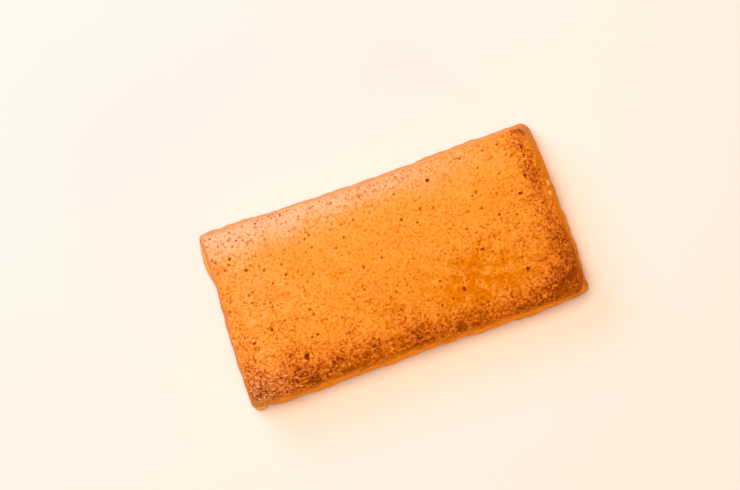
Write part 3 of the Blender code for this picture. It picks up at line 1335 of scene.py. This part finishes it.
    @staticmethod
    def used_points(mesh: bpy.types.Mesh, zone: Zone) -> Array:
        """Finds the vertices of a zone.

        Args:
            mesh: The mesh.
            zone: The zone.

        Returns:
            The numbers of its vertices, in order.
        """
        zones = np.empty(len(mesh.polygons), dtype=np.int32)
        mesh.attributes[Field.ZONE.value].data.foreach_get("value", zones)
        corners_of = np.empty(len(mesh.loops), dtype=np.int32)
        mesh.loops.foreach_get("vertex_index", corners_of)
        sides = np.empty(len(mesh.polygons), dtype=np.int32)
        mesh.polygons.foreach_get("loop_total", sides)
        return np.unique(corners_of[np.repeat(zones, sides) == zone.value])


@dataclass
class FusedCrumbs:
    """Crumbs and flakes that baked fast to the edges, as on the solid."""

    form: CakeForm
    finish: bpy.types.Material
    name: str = "fused_crumbs"
    balls: dict[str, Ball] = field(default_factory=lambda: {
        "corner_crumb": Ball((-40.7, -21.0, 3.2), (1.5, 1.05, 1.5)),
        "end_lip_flake": Ball((-41.4, 15.4, 3.0), (0.85, 4.6, 1.2)),
        "far_flake": Ball((16.8, 20.7, 6.2), (1.9, 0.75, 1.7)),
        "near_crumb": Ball((-16.1, -21.0, 3.4), (0.7, 0.75, 0.9)),
        "end_crumb_near": Ball((40.8, 3.6, 14.0), (0.95, 0.85, 0.7)),
        "end_crumb_far": Ball((41.2, 6.1, 13.5), (0.8, 0.95, 0.75)),
    })
    browning: float = 0.16

    def build(self) -> bpy.types.Object:
        """Builds all the crumbs as one mesh.

        Returns:
            Their object.
        """
        bm = bmesh.new()
        for number, ball in enumerate(self.balls.values()):
            self.add_crumb(bm, ball, Vector((number * 3.7, 1.3, 0.0)))
        mesh = bpy.data.meshes.new(self.name)
        bm.to_mesh(mesh)
        bm.free()
        mesh.materials.append(self.finish)
        mesh.shade_smooth()
        count = len(mesh.vertices)
        write_field(mesh, Field.BROWNING, np.full(count, self.browning))
        write_field(mesh, Field.BROKEN, np.full(count, 0.40))
        return new_object(self.name, mesh)

    @staticmethod
    def add_crumb(bm: bmesh.types.BMesh, ball: Ball, shift: Vector) -> None:
        """Adds one knobbly crumb to a mesh.

        Args:
            bm: The mesh being built.
            ball: The crumb's place and half sizes.
            shift: Moves the noise, so that no two crumbs are alike.
        """
        made = bmesh.ops.create_icosphere(bm, subdivisions=5, radius=1.0)
        for vert in made["verts"]:
            knobs = 0.22 * noise.noise(vert.co * 1.7 + shift) + 0.12 * noise.noise(vert.co * 4.5 + shift)
            vert.co *= 1.0 + knobs
        bmesh.ops.scale(bm, vec=Vector(ball.half) * MM, verts=made["verts"])
        bmesh.ops.translate(bm, vec=Vector(ball.middle) * MM, verts=made["verts"])


@dataclass(frozen=True)
class CrumbRelief:
    """The relief and the small pits of the crumb, grown on the crust by Geometry Nodes."""

    name: str = "crumb_relief"
    knob_size: float = 2.2 * MM
    knob_height: float = 0.05 * MM
    grain_height: float = 0.16 * MM
    wall_size: float = 1.3 * MM
    wall_height: float = 0.10 * MM
    wall_smoothness: float = 0.4
    pit_spacing: float = 1.05 * MM
    pit_density: float = 1.0 / MM**2
    pit_radius: tuple[float, float] = (0.16 * MM, 0.46 * MM)
    pit_depth: float = 0.9
    seed: int = 4

    def apply(self, crust: bpy.types.Object, material: bpy.types.Material) -> None:
        """Grows the relief on the crust and dresses it.

        Args:
            crust: The crust.
            material: What to dress it in.
        """
        values = {
            "Knob Height": self.knob_height,
            "Grain Height": self.grain_height,
            "Wall Height": self.wall_height,
            "Pit Spacing": self.pit_spacing,
            "Pit Radius Low": self.pit_radius[0],
            "Pit Radius High": self.pit_radius[1],
            "Pit Depth": self.pit_depth,
            "Seed": self.seed,
            "Material": material,
        }
        grow_nodes(crust, self.tree(values), values)

    def tree(self, values: dict[str, object]) -> bpy.types.NodeTree:
        """Builds the tree.

        Args:
            values: The tree's named inputs.

        Returns:
            The tree.
        """
        graph, given = new_tree(self.name, values)
        position = graph.add("GeometryNodeInputPosition").outputs[0]
        normal = graph.add("GeometryNodeInputNormal").outputs[0]
        relief = self.relief(graph, given, position)
        share, radius = self.pits(graph, given, position)
        deep = graph.times(share, radius, given["Pit Depth"])
        free = graph.times(graph.math("SUBTRACT", relief, deep), graph.named(Field.FREE))
        # painted shade: the larger a pit, the darker its middle
        size = graph.math("DIVIDE", radius, given["Pit Radius High"])
        dark = graph.times(graph.math("MULTIPLY", share, 1.6, True), graph.math("POWER", size, 3.0))
        dark = graph.math("MAXIMUM", graph.named(Field.PIT), dark)
        inputs = {
            "Geometry": graph.store(given["Geometry"], Field.PIT, dark),
            "Offset": graph.scaled(normal, free),
        }
        moved = graph.add("GeometryNodeSetPosition", inputs)
        return end_tree(graph, moved.outputs["Geometry"], given["Material"])

    def relief(self, graph: Graph, given: dict[str, Socket], position: Socket) -> Socket:
        """Adds up the knobs and grains of the crumb and the crags of the walls.

        Args:
            graph: The tree's graph.
            given: The tree's inputs.
            position: The place of each point.

        Returns:
            The height of the relief at each point.
        """
        knobs = graph.math("SUBTRACT", graph.noise(position, self.knob_size, 1.0), 0.5)
        grains = graph.swing(graph.grain(graph.scaled(position, 1.0 / MM)), -1.0)
        crags = graph.math("SUBTRACT", graph.noise(position, self.wall_size, 2.0), 0.5)
        wall = graph.named(Field.WALL)
        grain_share = graph.math("SUBTRACT", 1.0, graph.times(wall, self.wall_smoothness))
        return graph.total(
            graph.times(knobs, graph.times(given["Knob Height"], 4.0)),
            graph.times(grains, graph.times(given["Grain Height"], grain_share)),
            graph.times(crags, graph.times(wall, given["Wall Height"], 4.0)),
        )

    def pits(self, graph: Graph, given: dict[str, Socket], position: Socket) -> tuple[Socket, Socket]:
        """Strews the pits.

        Args:
            graph: The tree's graph.
            given: The tree's inputs.
            position: The place of each point.

        Returns:
            Each point's share of the depth of its nearest pit, and that pit's radius.
        """
        crust, spacing, seed = given["Geometry"], given["Pit Spacing"], given["Seed"]
        points = graph.strew(crust, spacing, self.pit_density, Field.PIT_SHARE, seed)
        inputs = {"Geometry": points, "Sample Position": position}
        index = graph.add("GeometryNodeSampleNearest", inputs, domain="POINT").outputs["Index"]
        inputs = {"Geometry": points, "Value": position, "Index": index}
        spot = graph.add("GeometryNodeSampleIndex", inputs, data_type="FLOAT_VECTOR", domain="POINT")
        inputs = {0: position, 1: spot.outputs["Value"]}
        gap = graph.add("ShaderNodeVectorMath", inputs, operation="DISTANCE").outputs["Value"]
        radius = graph.draw(seed, given["Pit Radius Low"], given["Pit Radius High"], index)
        share = graph.math("SUBTRACT", 1.0, graph.math("DIVIDE", gap, radius))
        return graph.span(share, 0.0, 1.0), radius


@dataclass(frozen=True)
class CrumbGrains:
    """The single grains of the crumb that stand out of the crust, strewn by Geometry Nodes."""

    name: str = "crumb_grains"
    spacing: float = 1.9 * MM
    density: float = 1.6 / MM**2
    radius: tuple[float, float] = (0.10 * MM, 0.26 * MM)
    knob_size: float = 0.9
    knobs: float = 0.6
    slimmest: tuple[float, float, float] = (0.7, 0.5, 0.4)
    fullest: tuple[float, float, float] = (1.2, 0.9, 0.65)
    tint: tuple[float, float] = (-0.18, 0.12)
    seed: int = 9

    def build(self, crust: bpy.types.Object, material: bpy.types.Material) -> bpy.types.Object:
        """Strews the grains over the crust.

        Args:
            crust: The crust, which stays as it is.
            material: What to dress them in.

        Returns:
            All the grains as one object.
        """
        grains = new_object(self.name, crust.data.copy())
        values = {
            "Spacing": self.spacing,
            "Radius Low": self.radius[0],
            "Radius High": self.radius[1],
            "Seed": self.seed,
            "Material": material,
        }
        grow_nodes(grains, self.tree(values), values)
        return grains

    def tree(self, values: dict[str, object]) -> bpy.types.NodeTree:
        """Builds the tree.

        Args:
            values: The tree's named inputs.

        Returns:
            The tree.
        """
        graph, given = new_tree(self.name, values)
        seed = given["Seed"]
        points = graph.strew(given["Geometry"], given["Spacing"], self.density, Field.GRAIN_SHARE, seed)
        ball = graph.add("GeometryNodeMeshIcoSphere", {"Radius": 1.0, "Subdivisions": 2}).outputs["Mesh"]
        spot = graph.add("GeometryNodeInputPosition").outputs[0]
        knobs = graph.swing(graph.noise(spot, self.knob_size, 1.0), self.knobs)
        inputs = {"Geometry": ball, "Offset": graph.scaled(spot, knobs)}
        uneven = graph.add("GeometryNodeSetPosition", inputs).outputs["Geometry"]
        size = graph.draw(seed, given["Radius Low"], given["Radius High"])
        inputs = {
            "Points": graph.store(points, Field.TINT, graph.draw(seed, *self.tint)),
            "Instance": uneven,
            "Rotation": graph.draw(seed, (0.0, 0.0, 0.0), (math.tau, math.tau, math.tau)),
            "Scale": graph.scaled(graph.draw(seed, self.slimmest, self.fullest), size),
        }
        strewn = graph.add("GeometryNodeInstanceOnPoints", inputs)
        return end_tree(graph, strewn.outputs["Instances"], given["Material"])


@dataclass(frozen=True)
class AreaLight:
    """A square soft light.

    Args:
        name: The light's name.
        towards: The direction from the cake to the light, in the cake's frame.
        power: Its power in watts.
        size: The length of its side.
        colour: Its colour.
        distance: How far it stands from the cake.
    """

    name: str
    towards: tuple[float, float, float]
    power: float
    size: float
    colour: Colour
    distance: float

    def build(self) -> None:
        """Puts the light in the scene, turned to the cake."""
        light = bpy.data.lights.new(self.name, "AREA")
        light.energy = self.power
        light.size = self.size
        light.color = self.colour
        obj = bpy.data.objects.new(self.name, light)
        bpy.context.scene.collection.objects.link(obj)
        towards = Vector(self.towards).normalized()
        obj.location = towards * self.distance
        obj.rotation_euler = towards.to_track_quat("Z", "Y").to_euler()


@dataclass(frozen=True)
class Studio:
    """The pale floor, the soft light and the camera that looks down on the cake."""

    floor_half: float = 1.5
    floor_colour: Colour = (0.95, 0.87, 0.85)
    world_colour: Colour = (1.0, 0.82, 0.60)
    world_strength: float = 0.10
    black_level: Colour = (0.0, 0.008, 0.013)
    distance: float = 1.0
    frame_width: float = 177.2 * MM
    aimed_at: tuple[float, float, float] = (-3.5 * MM, 6.4 * MM, 3.0 * MM)
    tilt: tuple[float, float] = (0.024, -0.032)
    turn: float = math.radians(19.4)
    lights: tuple[AreaLight, ...] = (
        AreaLight("ceiling", (-0.065, 0.13, 1.0), 16.4, 0.5, (1.0, 0.80, 0.615), 1.3),
        AreaLight("window", (-0.33, 0.62, 0.71), 1.85, 0.36, (1.0, 0.56, 0.92), 0.65),
        AreaLight("lamp", (0.45, -0.85, 0.14), 6.0, 0.5, (1.0, 0.72, 0.36), 1.1),
    )

    def build(self) -> None:
        """Builds the whole studio."""
        self.build_floor()
        self.build_world()
        for light in self.lights:
            light.build()
        self.build_camera()
        self.set_view()

    def set_view(self) -> None:
        """Sets plain colours with the photograph's depth in the darkest ones."""
        view = bpy.context.scene.view_settings
        view.view_transform = "Standard"
        view.use_curve_mapping = True
        view.curve_mapping.black_level = self.black_level
        view.curve_mapping.update()

    def build_floor(self) -> None:
        """Lays the floor just under the cake."""
        bm = bmesh.new()
        bmesh.ops.create_grid(bm, x_segments=1, y_segments=1, size=self.floor_half)
        mesh = bpy.data.meshes.new("floor")
        bm.to_mesh(mesh)
        bm.free()
        material = bpy.data.materials.new("pale_floor")
        material.use_nodes = True
        shader = material.node_tree.nodes["Principled BSDF"]
        shader.inputs["Base Color"].default_value = (*self.floor_colour, 1.0)
        shader.inputs["Roughness"].default_value = 0.7
        shader.inputs["Specular IOR Level"].default_value = 0.2
        mesh.materials.append(material)
        new_object("floor", mesh)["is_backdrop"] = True

    def build_world(self) -> None:
        """Sets the even light that comes from all round."""
        world = bpy.data.worlds.new("studio")
        world.use_nodes = True
        background = world.node_tree.nodes["Background"]
        background.inputs["Color"].default_value = (*self.world_colour, 1.0)
        background.inputs["Strength"].default_value = self.world_strength
        bpy.context.scene.world = world

    def build_camera(self) -> None:
        """Makes the camera, which looks down with the cake turned in its frame."""
        data = bpy.data.cameras.new("camera")
        data.sensor_width = 36.0
        data.lens = data.sensor_width * self.distance / self.frame_width
        data.clip_start = 0.05
        camera = bpy.data.objects.new("camera", data)
        bpy.context.scene.collection.objects.link(camera)
        back = Vector((*self.tilt, 1.0)).normalized()
        up = Vector((math.sin(self.turn), math.cos(self.turn), 0.0))
        right = up.cross(back).normalized()
        up = back.cross(right)
        turned = Matrix((right, up, back)).transposed().to_4x4()
        camera.matrix_world = Matrix.Translation(Vector(self.aimed_at) + back * self.distance) @ turned
        bpy.context.scene.camera = camera


def settle(pieces: list[bpy.types.Object], box: tuple[Vector, Vector]) -> None:
    """Moves the pieces together so that their middle is over the solid's and they stand on the table.

    Args:
        pieces: The pieces.
        box: The lowest and highest corner of the solid.
    """
    points = np.concatenate([read_points(piece.data) for piece in pieces])
    middle = (points.min(axis=0) + points.max(axis=0)) / 2
    move = np.array((box[0] + box[1]) / 2) - middle
    move[2] = box[0].z - points[:, 2].min()
    for piece in pieces:
        write_points(piece.data, read_points(piece.data) + move)


def corners(bounds: tuple[Vector, Vector]) -> list[list[float]]:
    """Returns a box as plain lists of numbers."""
    return [list(corner) for corner in bounds]


def main() -> dict[str, list[list[float]]]:
    """Builds the cake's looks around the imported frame.
    """
    logging.basicConfig(level=logging.INFO, format="%(name)s: %(message)s")
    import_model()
    cad_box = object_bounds()
    form = CakeForm()
    finish = CrustFinish().build()
    builder = Crust(form)
    crust = builder.build()
    crumbs = FusedCrumbs(form, finish).build()
    settle([crust, crumbs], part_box(Node.CAKE.value))
    CrumbRelief().apply(crust, finish)
    grains = CrumbGrains().build(crust, finish)
    zones = builder.part(crust)
    for piece in (*zones, crumbs, grains):
        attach(piece, "root")
        LOG.info("%s: %d faces", piece.name, len(piece.data.polygons))
    for piece in zones:
        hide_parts(Node.CAKE.value)
    Studio().build()
    return {"cad": corners(cad_box)}


if __name__ == "__main__":
    sizes = main()
    sizes["visual"] = corners(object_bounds())
